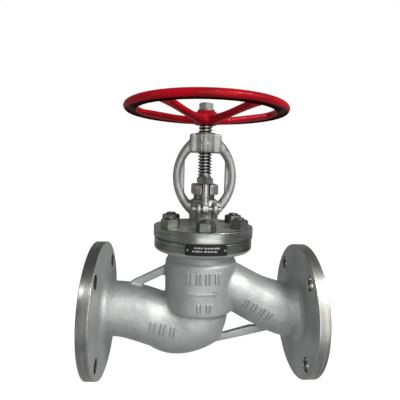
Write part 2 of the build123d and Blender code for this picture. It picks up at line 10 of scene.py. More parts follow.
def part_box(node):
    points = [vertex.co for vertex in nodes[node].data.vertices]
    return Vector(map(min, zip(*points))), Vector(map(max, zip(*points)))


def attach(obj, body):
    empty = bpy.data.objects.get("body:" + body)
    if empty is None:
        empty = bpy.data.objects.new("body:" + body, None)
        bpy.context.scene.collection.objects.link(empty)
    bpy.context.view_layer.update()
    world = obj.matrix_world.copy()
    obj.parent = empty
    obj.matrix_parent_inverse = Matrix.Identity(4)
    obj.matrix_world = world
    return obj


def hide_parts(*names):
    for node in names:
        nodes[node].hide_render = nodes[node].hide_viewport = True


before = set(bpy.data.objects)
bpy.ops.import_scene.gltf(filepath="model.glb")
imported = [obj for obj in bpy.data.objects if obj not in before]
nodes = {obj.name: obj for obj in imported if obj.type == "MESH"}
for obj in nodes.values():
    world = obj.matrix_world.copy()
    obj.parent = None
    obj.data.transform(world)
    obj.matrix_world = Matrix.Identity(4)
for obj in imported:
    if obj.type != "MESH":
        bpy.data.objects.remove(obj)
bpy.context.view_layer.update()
MM = 0.001


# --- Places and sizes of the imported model, in millimetres ------------------------------------

def mm(metres):
    """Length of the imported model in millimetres, free of rounding error."""
    return round(metres / MM, 2)


def heights(node):
    """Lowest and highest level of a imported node."""
    return [mm(corner.z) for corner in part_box(node)]


# Pipe and end flanges: the raised face stands proud of the flange
PIPE_BORE, PIPE_RADIUS = 31.0, 35.5
flange_radius = mm(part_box("outlet_flange")[1].z)
face_x = mm(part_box("outlet_flange")[1].x)
flange_front = face_x - 3.0
flange_back = flange_front - 14.0
HOLE_RADIUS, HOLE_CIRCLE = 9.0, 72.5
# The cast skin hands over to the turned flanges and rim a little inside their ends
SKIN_END_X, TURNED_START_X = 116.0, 115.5
SKIN_TOP = 87.4

# Barrel, and the joint of body and bonnet
BARREL_X, BARREL_RADIUS = -2.0, 47.0
neck_radius = mm(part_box("body_neck")[1].x)
joint_radius = mm(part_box("bonnet")[1].x)
JOINT_BORE = 40.0
gasket_low, gasket_high = heights("bonnet_gasket")
plate_low, plate_high = heights("nameplate")
sheet_radius = -mm(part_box("nameplate")[0].y)
STUD_CIRCLE, STUD_RADIUS = 50.0, 7.0
nut_seat, nut_top = heights("bonnet_nuts")
stud_top = heights("bonnet_studs")[1]

# Stem, yoke nut, gland and swing bolts
STEM_RADIUS = 9.0
stem_low, stem_high = heights("stem")
yoke_nut_low, yoke_nut_high = heights("yoke_nut")
sleeve_low, sleeve_high = heights("gland_bush")
sleeve_radius = mm(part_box("gland_bush")[1].x)
clamp_seat, clamp_top = heights("gland_nut_rear")
pin_z = sum(heights("swing_pin_rear")) / 2
swing_y = sum(mm(corner.y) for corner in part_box("swing_bolt_rear")) / 2
bolt_length = heights("swing_bolt_rear")[1] - pin_z
PIN_RADIUS = 3.0

# Handwheel: the rim is an oval shell, open underneath
RIM_WIDE, RIM_TALL = 9.0, 6.2
HOLLOW_WIDE, HOLLOW_TALL, HOLLOW_DROP = 6.4, 5.8, 2.9
rim_circle = mm(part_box("handwheel")[1].x) - RIM_WIDE
rim_z = heights("handwheel")[1] - RIM_TALL
washer_low, washer_high = heights("wheel_washer")
wheel_nut_low, wheel_nut_high = heights("wheel_nut")


# --- Mesh helpers ----------------------------------------------------------------------------

def finished(name, mesh, material, body, stands_for=(), sharp=30):
    """Turn a mesh into a piece riding on its body, shaded smooth below a crease of sharp degrees."""
    mesh.validate()
    mesh.shade_smooth()
    mesh.set_sharp_from_angle(angle=radians(sharp))
    mesh.materials.clear()
    mesh.materials.append(material)
    piece = bpy.data.objects.new(name, mesh)
    bpy.context.scene.collection.objects.link(piece)
    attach(piece, body)
    if stands_for:
        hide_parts(*stands_for)
    return piece


def mesh_of(verts, faces):
    """Mesh from points in millimetres, with doubled points merged and normals facing out."""
    mesh = bpy.data.meshes.new("mesh")
    mesh.from_pydata([(x * MM, y * MM, z * MM) for x, y, z in verts], [], faces)
    work = bmesh.new()
    work.from_mesh(mesh)
    bmesh.ops.remove_doubles(work, verts=work.verts, dist=1e-6)
    bmesh.ops.dissolve_degenerate(work, edges=work.edges, dist=1e-7)
    edges = [edge for edge in work.edges if edge.is_boundary]
    if edges:
        bmesh.ops.holes_fill(work, edges=edges, sides=0)
    bmesh.ops.recalc_face_normals(work, faces=work.faces)
    work.to_mesh(mesh)
    work.free()
    return mesh


def join(name, meshes):
    """One mesh from several."""
    work = bmesh.new()
    for mesh in meshes:
        work.from_mesh(mesh)
    joined = bpy.data.meshes.new(name)
    work.to_mesh(joined)
    work.free()
    return joined


def placed(mesh, matrix):
    """The mesh itself, moved by a matrix whose translation is in metres."""
    mesh.transform(matrix)
    return mesh


def at(x, y, z):
    """Move by millimetres."""
    return Matrix.Translation((x * MM, y * MM, z * MM))


def turned(degrees, axis):
    """Turn about an axis through the origin."""
    return Matrix.Rotation(radians(degrees), 4, axis)


def eased(corners, samples=4):
    """Closed outline from corners (a, b, radius), each corner rounded off by its radius.

    A corner takes less than half of each side that meets in it.
    """
    most = 0.49
    outline = []
    for index, (a, b, radius) in enumerate(corners):
        here = Vector((a, b))
        if radius == 0:
            outline.append((a, b))
            continue
        before = Vector(corners[index - 1][:2]) - here
        after = Vector(corners[(index + 1) % len(corners)][:2]) - here
        start = here + before.normalized() * min(radius, before.length * most)
        end = here + after.normalized() * min(radius, after.length * most)
        for step in range(samples + 1):
            t = step / samples
            outline.append(tuple(start * (1 - t) ** 2 + here * 2 * t * (1 - t) + end * t ** 2))
    return outline


def skin_faces(sections, count, closed=True):
    """Faces between neighbouring sections of count points; closed joins the last to the first."""
    faces = []
    for step in range(sections if closed else sections - 1):
        this, following = step * count, (step + 1) % sections * count
        for k in range(count):
            after = (k + 1) % count
            faces.append((this + k, following + k, following + after, this + after))
    return faces


def lathe(outline, steps):
    """Solid of revolution about Z from a closed outline of (radius, height).

    Long straights get a point near each end, so that they shade flat between rounded corners.
    """
    long, inset = 1.5, 0.15
    section = []
    for (r, z), (next_r, next_z) in zip(outline, outline[1:] + outline[:1]):
        section.append((r, z))
        length = hypot(next_r - r, next_z - z)
        if length > long:
            for part in (inset / length, 1 - inset / length):
                section.append((r + (next_r - r) * part, z + (next_z - z) * part))
    verts = []
    for step in range(steps):
        angle = 2 * pi * step / steps
        verts += [(r * cos(angle), r * sin(angle), z) for r, z in section]
    return mesh_of(verts, skin_faces(steps, len(section)))


def threaded_rod(radius, depth, pitch, bottom, top, crest=0.12, root=0.15, ease=1.0, steps=64):
    """Rod along Z with a right-hand thread cut by depth; its ends are chamfered by ease.

    Crest and root are the shares of the pitch that are flat.
    """
    slope = (1 - crest - root) / 2
    marks = (0.0, crest, crest + slope, 1 - slope)
    rows = []
    # Rows climb a turn on their way round, so they start below the bottom and are held at it
    turn = -2
    while bottom + turn * pitch < top + pitch:
        rows += [bottom + (turn + mark) * pitch for mark in marks]
        turn += 1

    def cut(angle, z):
        place = ((z - bottom) / pitch - angle / (2 * pi)) % 1.0
        if place < crest:
            out = radius
        elif place < crest + slope:
            out = radius - depth * (place - crest) / slope
        elif place < 1 - slope:
            out = radius - depth
        else:
            out = radius - depth * (1 - place) / slope
        return min(out, radius - ease + top - z, radius - ease + z - bottom)

    verts = []
    for row in rows:
        for step in range(steps):
            angle = 2 * pi * step / steps
            z = min(max(row + pitch * step / steps, bottom), top)
            r = cut(angle, z)
            verts.append((r * cos(angle), r * sin(angle), z))
    faces = []
    for k in range(len(rows) - 1):
        for step in range(steps):
            a = k * steps + step
            # The last column meets the first one a whole turn, or four rows, further up
            if step < steps - 1:
                faces.append((a, a + 1, a + 1 + steps, a + steps))
            elif k + 5 < len(rows):
                faces.append((a, (k + 4) * steps, (k + 5) * steps, a + steps))
    return mesh_of(verts, faces)


def hexagon_nut(width, height, bore):
    """Hexagon nut on the XY plane: top corners chamfered, bore countersunk, a corner on +X."""
    steps = 96
    bearing = width * 0.47
    sink, edge = 0.7, 0.3
    verts = []
    for step in range(steps):
        angle = 2 * pi * step / steps
        side = angle % (pi / 3) - pi / 6
        out = width / 2 / cos(side)
        drop = (out - bearing) * tan(radians(30))
        section = ((bore, sink), (bore + sink, 0.0), (out - edge, 0.0), (out, edge), (out, height - drop),
                   (bearing, height), (bore + sink, height), (bore, height - sink))
        verts += [(r * cos(angle), r * sin(angle), z) for r, z in section]
    return mesh_of(verts, skin_faces(steps, len(section)))


# --- Materials -------------------------------------------------------------------------------

def start_material(name, metallic, roughness, colour):
    """New material: its tree, its shader and its object coordinates."""
    material = bpy.data.materials.new(name)
    material.use_nodes = True
    tree = material.node_tree
    shader = tree.nodes["Principled BSDF"]
    shader.inputs["Metallic"].default_value = metallic
    shader.inputs["Roughness"].default_value = roughness
    shader.inputs["Base Color"].default_value = (*colour, 1)
    place = tree.nodes.new("ShaderNodeTexCoord").outputs["Object"]
    return material, tree, shader, place


def noise(tree, vector, scale, detail, roughness=0.55):
    """Value of a noise texture, about 0 to 1."""
    node = tree.nodes.new("ShaderNodeTexNoise")
    node.inputs["Scale"].default_value = scale
    node.inputs["Detail"].default_value = detail
    node.inputs["Roughness"].default_value = roughness
    tree.links.new(vector, node.inputs["Vector"])
    return node.outputs[0]


def spread(tree, value, low, high, out_low, out_high):
    """Value mapped smoothly from low..high to out_low..out_high."""
    node = tree.nodes.new("ShaderNodeMapRange")
    node.interpolation_type = "SMOOTHSTEP"
    for index, number in enumerate((low, high, out_low, out_high), 1):
        node.inputs[index].default_value = number
    tree.links.new(value, node.inputs[0])
    return node.outputs[0]


def blend_colour(tree, factor, first, second):
    """Colour between two by a factor; each is a colour or a socket."""
    node = tree.nodes.new("ShaderNodeMix")
    node.data_type = "RGBA"
    tree.links.new(factor, node.inputs["Factor"])
    for socket, colour in ((node.inputs[6], first), (node.inputs[7], second)):
        if isinstance(colour, tuple):
            socket.default_value = (*colour, 1)
        else:
            tree.links.new(colour, socket)
    return node.outputs[2]


def bump(tree, shader, *layers):
    """Stack of bump layers, each (height value, depth in metres), on a shader's normal."""
    normal = None
    for height, depth in layers:
        node = tree.nodes.new("ShaderNodeBump")
        node.inputs["Strength"].default_value = 1.0
        node.inputs["Distance"].default_value = depth
        tree.links.new(height, node.inputs["Height"])
        if normal:
            tree.links.new(normal, node.inputs["Normal"])
        normal = node.outputs[0]
    tree.links.new(normal, shader.inputs["Normal"])


def round_coordinates(tree, place, axis, fine, about):
    """Coordinates for turned work: fine across the tool marks, slow along them."""
    split = tree.nodes.new("ShaderNodeSeparateXYZ")
    tree.links.new(place, split.inputs[0])
    order = {"X": (1, 2, 0), "Z": (0, 1, 2)}[axis]
    u, v, along = (split.outputs[k] for k in order)

    def maths(operation, first, second):
        node = tree.nodes.new("ShaderNodeMath")
        node.operation = operation
        for socket, value in zip(node.inputs, (first, second)):
            if isinstance(value, float):
                socket.default_value = value
            else:
                tree.links.new(value, socket)
        return node.outputs[0]

    squares = maths("ADD", maths("MULTIPLY", u, u), maths("MULTIPLY", v, v))
    radius = maths("MULTIPLY", maths("SQRT", squares, 0.0), fine)
    angle = maths("MULTIPLY", maths("ARCTAN2", v, u), about)
    height = maths("MULTIPLY", along, fine)
    together = tree.nodes.new("ShaderNodeCombineXYZ")
    for socket, value in zip(together.inputs, (radius, height, angle)):
        tree.links.new(value, socket)
    return together.outputs[0]


def cast_metal(name, colour, shade, roughness, grain=0.00016):
    """Bead-blasted casting: a fine even grain, slow waves of the mould and faint darker patches."""
    material, tree, shader, place = start_material(name, 0.75, roughness, colour)
    fine = noise(tree, place, 1300, 3, 0.65)
    pits = noise(tree, place, 420, 2, 0.5)
    waves = noise(tree, place, 55, 2, 0.4)
    patches = noise(tree, place, 26, 4, 0.6)
    tone = blend_colour(tree, spread(tree, patches, 0.38, 0.68, 0, 1), colour, shade)
    speck = spread(tree, fine, 0.38, 0.68, 0.0, 0.6)
    lighter = tuple(min(1.0, c * 1.25) for c in colour)
    tree.links.new(blend_colour(tree, speck, tone, lighter), shader.inputs["Base Color"])
    tree.links.new(spread(tree, patches, 0.3, 0.7, roughness - 0.05, roughness + 0.07),
                   shader.inputs["Roughness"])
    bump(tree, shader, (waves, 0.0010), (pits, 0.00034), (fine, grain))
    return material


def turned_metal(name, colour, shade, roughness, axis, marks):
    """Turned metal: tool marks round an axis, streaks of tone along them, stretched highlights."""
    material, tree, shader, place = start_material(name, 1.0, roughness, colour)
    cutting = round_coordinates(tree, place, axis, 2600.0, 1.2)
    wide = round_coordinates(tree, place, axis, 420.0, 0.9)
    lines = noise(tree, cutting, 1.0, 3, 0.6)
    bands = noise(tree, wide, 1.0, 3, 0.55)
    patches = noise(tree, place, 30, 4, 0.6)
    tone = blend_colour(tree, spread(tree, bands, 0.35, 0.68, 0, 1), colour, shade)
    dull = spread(tree, patches, 0.45, 0.75, 0, 0.6)
    darker = tuple(c * 0.72 for c in shade)
    tree.links.new(blend_colour(tree, dull, tone, darker), shader.inputs["Base Color"])
    tree.links.new(spread(tree, bands, 0.3, 0.7, roughness - 0.06, roughness + 0.08),
                   shader.inputs["Roughness"])
    shader.inputs["Anisotropic"].default_value = 0.55
    tangent = tree.nodes.new("ShaderNodeTangent")
    tangent.direction_type = "RADIAL"
    tangent.axis = axis
    tree.links.new(tangent.outputs[0], shader.inputs["Tangent"])
    bump(tree, shader, (lines, marks), (bands, marks * 1.5))
    return material


def threaded_metal(name, colour, shade, roughness):
    """Turned metal of the stem, darker towards the root of the thread."""
    material = turned_metal(name, colour, shade, roughness, "Z", 0.00001)
    tree = material.node_tree
    shader = tree.nodes["Principled BSDF"]
    place = tree.nodes.new("ShaderNodeTexCoord").outputs["Object"]
    flatten = tree.nodes.new("ShaderNodeVectorMath")
    flatten.operation = "MULTIPLY"
    flatten.inputs[1].default_value = (1, 1, 0)
    tree.links.new(place, flatten.inputs[0])
    length = tree.nodes.new("ShaderNodeVectorMath")
    length.operation = "LENGTH"
    tree.links.new(flatten.outputs[0], length.inputs[0])
    # The colour runs from a dark brown-grey at the thread's root to the metal's own tone at its crest
    root, crest = (STEM_RADIUS - 1.8) * MM, (STEM_RADIUS - 0.3) * MM
    toward_crest = spread(tree, length.outputs["Value"], root, crest, 0.0, 1.0)
    tone = shader.inputs["Base Color"].links[0].from_socket
    root_dark = (0.045, 0.042, 0.036)
    tree.links.new(blend_colour(tree, toward_crest, root_dark, tone), shader.inputs["Base Color"])
    return material


def worn_metal(name, colour, shade, roughness, scale=300.0, depth=0.00006):
    """Machined part that has been handled: fine scratches and darker, rougher patches."""
    material, tree, shader, place = start_material(name, 1.0, roughness, colour)
    patches = noise(tree, place, scale * 0.35, 4, 0.65)
    fine = noise(tree, place, scale * 4, 3, 0.6)
    dents = noise(tree, place, scale, 3, 0.5)
    tone = blend_colour(tree, spread(tree, patches, 0.35, 0.65, 0, 1), colour, shade)
    tree.links.new(tone, shader.inputs["Base Color"])
    tree.links.new(spread(tree, patches, 0.3, 0.7, roughness - 0.06, roughness + 0.12),
                   shader.inputs["Roughness"])
    bump(tree, shader, (dents, depth), (fine, depth * 0.35))
    return material


def enamel(name, colour, deep):
    """Thick glossy enamel over a casting: slow waves, slight orange peel, tone deepening in slow patches."""
    material, tree, shader, place = start_material(name, 0.0, 0.45, colour)
    shader.inputs["Coat Weight"].default_value = 0.13
    shader.inputs["Coat Roughness"].default_value = 0.045
    shader.inputs["Specular IOR Level"].default_value = 0.03
    slow = noise(tree, place, 18, 3, 0.5)
    peel = noise(tree, place, 340, 2, 0.4)
    waves = noise(tree, place, 70, 2, 0.4)
    tree.links.new(blend_colour(tree, spread(tree, slow, 0.3, 0.7, 0, 1), colour, deep),
                   shader.inputs["Base Color"])
    tree.links.new(spread(tree, peel, 0.3, 0.8, 0.4, 0.5), shader.inputs["Roughness"])
    bump(tree, shader, (waves, 0.0005), (peel, 0.00003))
    return material


def dull_solid(name, colour, shade, roughness, scale, depth, gloss=0.5):
    """Non-metal with a mottled tone and a fine grain."""
    material, tree, shader, place = start_material(name, 0.0, roughness, colour)
    shader.inputs["Specular IOR Level"].default_value = gloss
    grain = noise(tree, place, scale, 4, 0.6)
    tree.links.new(blend_colour(tree, spread(tree, grain, 0.35, 0.7, 0, 1), colour, shade),
                   shader.inputs["Base Color"])
    tree.links.new(spread(tree, grain, 0.3, 0.7, roughness - 0.08, roughness + 0.08),
                   shader.inputs["Roughness"])
    bump(tree, shader, (grain, depth))
    return material


cast = cast_metal("cast_body", (0.395, 0.41, 0.40), (0.31, 0.322, 0.315), 0.54)
cast_dark = cast_metal("cast_bonnet", (0.33, 0.335, 0.32), (0.20, 0.205, 0.195), 0.44, 0.00012)
turned_x = turned_metal("turned_flange", (0.40, 0.40, 0.37), (0.22, 0.22, 0.20), 0.30, "X", 0.000012)
turned_z = turned_metal("turned_rim", (0.37, 0.38, 0.355), (0.20, 0.21, 0.195), 0.26, "Z", 0.000006)
stem_metal = threaded_metal("turned_stem", (0.42, 0.41, 0.385), (0.27, 0.26, 0.24), 0.28)
fastener = worn_metal("fastener", (0.29, 0.29, 0.27), (0.15, 0.15, 0.14), 0.36)
bolt_metal = worn_metal("swing_bolt", (0.42, 0.415, 0.395), (0.28, 0.275, 0.26), 0.42, 240.0, 0.00003)
brass = worn_metal("brass", (0.34, 0.28, 0.16), (0.22, 0.18, 0.10), 0.40)
red = enamel("red_enamel", (0.36, 0.0024, 0.0090), (0.21, 0.0018, 0.006))
# Painted shade: near-black red for the inside of the rim's hollow, where shade falls
painted_shade_red = enamel("painted_shade_red", (0.045, 0.0012, 0.0030), (0.020, 0.0008, 0.0018))
graphite = dull_solid("graphite", (0.030, 0.030, 0.032), (0.05, 0.05, 0.052), 0.6, 900, 0.00005)
plate_black = dull_solid("plate_black", (0.008, 0.008, 0.009), (0.014, 0.014, 0.016), 0.5, 700, 0.00001, 0.15)
print_white = dull_solid("print_white", (0.34, 0.34, 0.33), (0.22, 0.22, 0.21), 0.5, 700, 0.00001)


# --- Castings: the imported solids, rounded where the mould and the fettling round them ---------

def remeshed(packed, voxel, extra=()):
    """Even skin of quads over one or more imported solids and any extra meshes."""
    solids = [nodes[node].data for node in packed]
    source = bpy.data.objects.new("source", join("source", solids + list(extra)))
    bpy.context.scene.collection.objects.link(source)
    even = source.modifiers.new("even", "REMESH")
    even.mode = "VOXEL"
    even.voxel_size = voxel * MM
    depsgraph = bpy.context.evaluated_depsgraph_get()
    mesh = bpy.data.meshes.new_from_object(source.evaluated_get(depsgraph))
    bpy.data.objects.remove(source)
    return mesh


def points_of(mesh):
    """Vertex positions as an array, in millimetres."""
    flat = np.zeros(len(mesh.vertices) * 3)
    mesh.vertices.foreach_get("co", flat)
    return flat.reshape(-1, 3) / MM


def move_points(mesh, points):
    """Put vertex positions in millimetres back into the mesh."""
    mesh.vertices.foreach_set("co", (points * MM).ravel())
    mesh.update()


def smoothed(mesh, points, rounds, weight=None):
    """Points drawn towards the mean of their neighbours, which rounds off creases and corners."""
    ends = np.zeros(len(mesh.edges) * 2, int)
    mesh.edges.foreach_get("vertices", ends)
    a, b = ends[::2], ends[1::2]
    count = len(points)
    links = np.bincount(a, minlength=count) + np.bincount(b, minlength=count)
    rate = 0.5
    pull = rate if weight is None else rate * weight[:, None]
    for _ in range(rounds):
        total = np.stack([
            np.bincount(a, points[b, k], count) + np.bincount(b, points[a, k], count)
            for k in range(3)
        ], axis=1)
        points = points + pull * (total / links[:, None] - points)
    return points


def smooth_step(value, low, high):
    """0 below low, 1 above high, with an even ease between."""
    t = np.clip((value - low) / (high - low), 0, 1)
    return t * t * (3 - 2 * t)


def true_up(points, across, share, radius):
    """Draw points near a radius onto it, each by its share, across the two axes of the slice."""
    from_axis = np.hypot(*points[:, across].T)
    near = share * (np.abs(from_axis - radius) < 1.6)
    points[:, across] *= (1 + near * (radius / np.maximum(from_axis, 1) - 1))[:, None]


def cut_away(mesh, planes):
    """Remove what lies beyond each plane (point in millimetres, outward normal)."""
    work = bmesh.new()
    work.from_mesh(mesh)
    for point, normal in planes:
        everything = work.verts[:] + work.edges[:] + work.faces[:]
        bmesh.ops.bisect_plane(work, geom=everything, plane_co=Vector(point) * MM,
                               plane_no=normal, clear_outer=True)
    work.to_mesh(mesh)
    work.free()


def rise(marks, x, z):
    """How far a point is up the sloping edge of the mark that it is on: 0 beside it, 1 on top."""
    half_edge = 0.4
    most = 0.0
    for mid_x, mid_z, width, tall, tilt in marks:
        across = (x - mid_x) * cos(tilt) + (z - mid_z) * sin(tilt)
        along = (z - mid_z) * cos(tilt) - (x - mid_x) * sin(tilt)
        inside = min(width / 2 - abs(across), tall / 2 - abs(along))
        most = max(most, min(max((inside + half_edge) / (2 * half_edge), 0.0), 1.0))
    return most


def raise_marks(mesh, marks, cuts, on_front, lift, reach=inf):
    """Raise marks on a casting: each is a slanted bar (x, z, width, height, tilt).

    Where on_front(place, normal) holds, faces within reach of a mark are cut finer and points on
    a mark move by lift(place, normal, share), all in millimetres.
    """
    work = bmesh.new()
    work.from_mesh(mesh)
    chosen = set()
    for face in work.faces:
        centre = face.calc_center_median() / MM
        if not on_front(centre, face.normal):
            continue
        for x, z, width, tall, _ in marks:
            size = max(width, tall) / 2 + reach
            if abs(centre.x - x) < size and abs(centre.z - z) < size:
                chosen.update(face.edges)
                break
    in_order = sorted(chosen, key=lambda edge: edge.index)
    bmesh.ops.subdivide_edges(work, edges=in_order, cuts=cuts, use_grid_fill=True)
    work.normal_update()
    moves = []
    for vert in work.verts:
        place = vert.co / MM
        if not on_front(place, vert.normal):
            continue
        share = rise(marks, place.x, place.z)
        if share > 0:
            moves.append((vert, lift(place, vert.normal, share) * MM))
    for vert, move in moves:
        vert.co += move
    work.to_mesh(mesh)
    work.free()


def bars(x, z, count, pitch, width, tall, slope=0.0):
    """Upright bars in pairs, climbing at slope degrees, which stand where lettering would be."""
    tilt = radians(slope)
    pair_gap = pitch * 0.55
    row = []
    for index in range(count):
        step = (index - (count - 1) / 2) * pitch + (index // 2 - (count / 2 - 1) / 2) * pair_gap
        row.append((x + step * cos(tilt), z + step * sin(tilt), width, tall, tilt))
    return row


def corner_wedge():
    """Wedge inside the sharp corner of outlet and barrel, where the wall is thinner than a voxel."""
    section = ((53, 59.2), (49, 60.3), (46, 61.8), (44.5, 62.6), (44.5, 66), (40.5, 66), (40.5, 55), (53, 55))
    half_width = 9
    verts = [(x, side * half_width, z) for side in (-1, 1) for x, z in section]
    return mesh_of(verts, skin_faces(2, len(section), closed=False))


def body_skin(packed):
    """Barrel, pipes, ribs and neck in one cast skin, trued up where the turned pieces carry on."""
    mesh = remeshed(packed, 1.3, [corner_wedge()])
    points = points_of(mesh)
    x, y, z = points.T
    # The front of the barrel is laid plain, because the marks are raised afresh
    from_axis = np.hypot(x - BARREL_X, y)
    field = (np.abs(x) < 26) & (y < -36) & (z > 24) & (z < 46)
    plain = field & (np.abs(from_axis - (BARREL_RADIUS + 0.5)) < 1.2)
    points[plain, 0] = BARREL_X + (x[plain] - BARREL_X) * BARREL_RADIUS / from_axis[plain]
    points[plain, 1] = y[plain] * BARREL_RADIUS / from_axis[plain]
    points = smoothed(mesh, points, 8)
    about_pipe, about_stem = slice(1, 3), slice(0, 2)
    near_end = smooth_step(np.abs(points[:, 0]), SKIN_END_X - 5, SKIN_END_X - 1)
    for radius in (PIPE_RADIUS, PIPE_BORE):
        true_up(points, about_pipe, near_end, radius)
    near_top = smooth_step(points[:, 2], SKIN_TOP - 2.2, SKIN_TOP - 0.4)
    true_up(points, about_stem, near_top, neck_radius)
    move_points(mesh, points)
    cut_away(mesh, [
        ((-SKIN_END_X, 0, 0), (-1, 0, 0)), ((SKIN_END_X, 0, 0), (1, 0, 0)), ((0, 0, SKIN_TOP), (0, 0, 1)),
    ])
    return mesh


def raise_body_marks(mesh):
    """Flow arrow on the barrel, and rows of bars on the neck, the barrel and both pipes."""
    arrow_z, barb_x, barb_slope = 35.0, 15.2, 38
    marks = [(-3.0, arrow_z, 35, 2.1, 0.0)]
    for side in (1, -1):
        marks.append((barb_x, arrow_z + side * 1.6, 6.8, 1.8, radians(-side * barb_slope)))
    marks += bars(-0.5, 54.0, 8, 4.4, 2.5, 13.5)
    marks += bars(1.0, 17.0, 4, 4.4, 2.4, 11.0)
    marks += bars(-49.0, -13.0, 6, 5.0, 2.5, 11.5, -11)
    marks += bars(70.6, 11.5, 8, 4.4, 2.4, 11.0, -28)
    height = 2.1
    front_y, facing = -24, -0.15

    def on_front(place, normal):
        return place.y <= front_y and normal.y <= facing

    def lift(place, normal, share):
        return normal * (share * share * (3 - 2 * share) * height)

    raise_marks(mesh, marks, 2, on_front, lift, reach=2.0)


casting_nodes = ("body", "body_neck", "inlet_branch", "outlet_branch", "inlet_flange", "outlet_flange",
                 "inlet_rib", "outlet_rib")
body_mesh = body_skin(casting_nodes)
raise_body_marks(body_mesh)
finished("body_casting", body_mesh, cast, "valve", casting_nodes, 180)


# --- End flanges -----------------------------------------------------------------------------

def end_flange():
    """Outlet flange: turned rim and faces, raised face, cast root, bolt holes."""
    raised_radius = 61.0
    outline = eased([
        (PIPE_BORE, TURNED_START_X, 0), (PIPE_RADIUS, TURNED_START_X, 0), (PIPE_RADIUS, 119.0, 0),
        (35.65, 121.2, 0), (36.6, 123.8, 0), (38.6, 126.2, 0), (41.2, 127.6, 0), (43.6, flange_back, 0),
        (flange_radius, flange_back, 0.9), (flange_radius, flange_front, 0.9),
        (raised_radius, flange_front, 0.3), (raised_radius, face_x, 0.5), (PIPE_BORE, face_x, 0.8),
    ])
    disc = bpy.data.objects.new("disc", lathe(outline, 192))
    # The drill is wider beyond both faces, which chamfers the hole, and runs out past them
    chamfer, past = 1.2, 4.0
    wide = HOLE_RADIUS + chamfer
    drill = lathe([
        (0, flange_back - past), (wide, flange_back - past), (wide, flange_back - 0.4),
        (HOLE_RADIUS, flange_back - 0.4 + chamfer), (HOLE_RADIUS, flange_front + 0.4 - chamfer),
        (wide, flange_front + 0.4), (wide, flange_front + past), (0, flange_front + past),
    ], 48)
    holes = []
    for quarter in range(4):
        turn = radians(45 + 90 * quarter)
        holes.append(placed(drill.copy(), at(HOLE_CIRCLE * cos(turn), HOLE_CIRCLE * sin(turn), 0)))
    cutter = bpy.data.objects.new("cutter", join("drills", holes))
    for piece in (disc, cutter):
        bpy.context.scene.collection.objects.link(piece)
    bore = disc.modifiers.new("holes", "BOOLEAN")
    bore.operation = "DIFFERENCE"
    bore.solver = "EXACT"
    bore.object = cutter
    depsgraph = bpy.context.evaluated_depsgraph_get()
    mesh = bpy.data.meshes.new_from_object(disc.evaluated_get(depsgraph))
    for piece in (disc, cutter):
        bpy.data.objects.remove(piece)
    # From the stem's axis to the pipe's
    return placed(mesh, turned(90, "Y"))


def assign_by_face(piece, second, test):
    """Give faces a second material where test(centre in millimetres) holds."""
    piece.data.materials.append(second)
    for face in piece.data.polygons:
        if test(face.center / MM):
            face.material_index = 1


outlet_mesh = end_flange()
inlet_mesh = placed(outlet_mesh.copy(), turned(180, "Z"))
for label, flange_mesh in (("inlet_flange", inlet_mesh), ("outlet_flange", outlet_mesh)):
    flange = finished(label + "_turned", flange_mesh, turned_x, "valve", (label,))
    # The back and the root of the flange are left as cast
    assign_by_face(flange, cast, lambda place: abs(place.x) < flange_back + 0.3)


# --- Turned joint of body and bonnet ---------------------------------------------------------

def turned_piece(name, corners, steps, material, body, node):
    """Piece turned about the stem from its corners (radius, height, rounding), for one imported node."""
    finished(name, lathe(eased(corners), steps), material, body, (node,))


turned_piece("body_rim", [
    (JOINT_BORE, plate_low, 0), (neck_radius - 0.6, plate_low, 0), (neck_radius, plate_low + 0.8, 0.4),
    (neck_radius, gasket_low, 0.7), (JOINT_BORE, gasket_low, 0.4),
], 192, turned_z, "valve", "body_neck")
turned_piece("bonnet_flange", [
    (30.0, gasket_high, 0), (joint_radius, gasket_high, 0.7), (joint_radius, nut_seat, 1.0),
    (20.0, nut_seat, 0), (20.0, nut_seat - 1.5, 0),
], 192, turned_z, "valve", "bonnet")
gasket_radius = neck_radius - 0.8
turned_piece("gasket", [
    (JOINT_BORE, gasket_low, 0), (gasket_radius, gasket_low, 0.2), (gasket_radius, gasket_high, 0.2),
    (JOINT_BORE, gasket_high, 0),
], 128, graphite, "valve", "bonnet_gasket")


# --- Bonnet and yoke -------------------------------------------------------------------------

def bonnet_skin():
    """Boss, arms and head of the yoke, rounded as cast; bored and turned places stay sharp."""
    mesh = remeshed(["bonnet"], 0.9)
    points = points_of(mesh)
    x, y, z = points.T
    bored = (np.hypot(x, y) < 15.5) & (z < 205)
    flange = z < nut_seat - 0.5
    move_points(mesh, smoothed(mesh, points, 7, np.where(bored | flange, 0.15, 1.0)))
    cut_away(mesh, [((0, 0, nut_seat - 0.3), (0, 0, -1))])
    return mesh


def raise_yoke_marks(mesh):
    """Two rows of small bars on the flat front of the yoke's head."""
    height = 0.8

    def on_front(place, normal):
        return place.y < -11.0 and abs(place.x) < 10 and 208 < place.z < 236

    def lift(place, normal, share):
        return Vector((place.x, place.y, 0)).normalized() * (share * height)

    marks = bars(0.0, 226.0, 4, 3.6, 1.7, 7.5) + bars(0.0, 214.5, 4, 3.6, 1.7, 7.5)
    raise_marks(mesh, marks, 1, on_front, lift)


bonnet_mesh = bonnet_skin()
raise_yoke_marks(bonnet_mesh)
finished("bonnet_casting", bonnet_mesh, cast_dark, "valve", ("bonnet",), 180)


# --- Bonnet studs and nuts -------------------------------------------------------------------

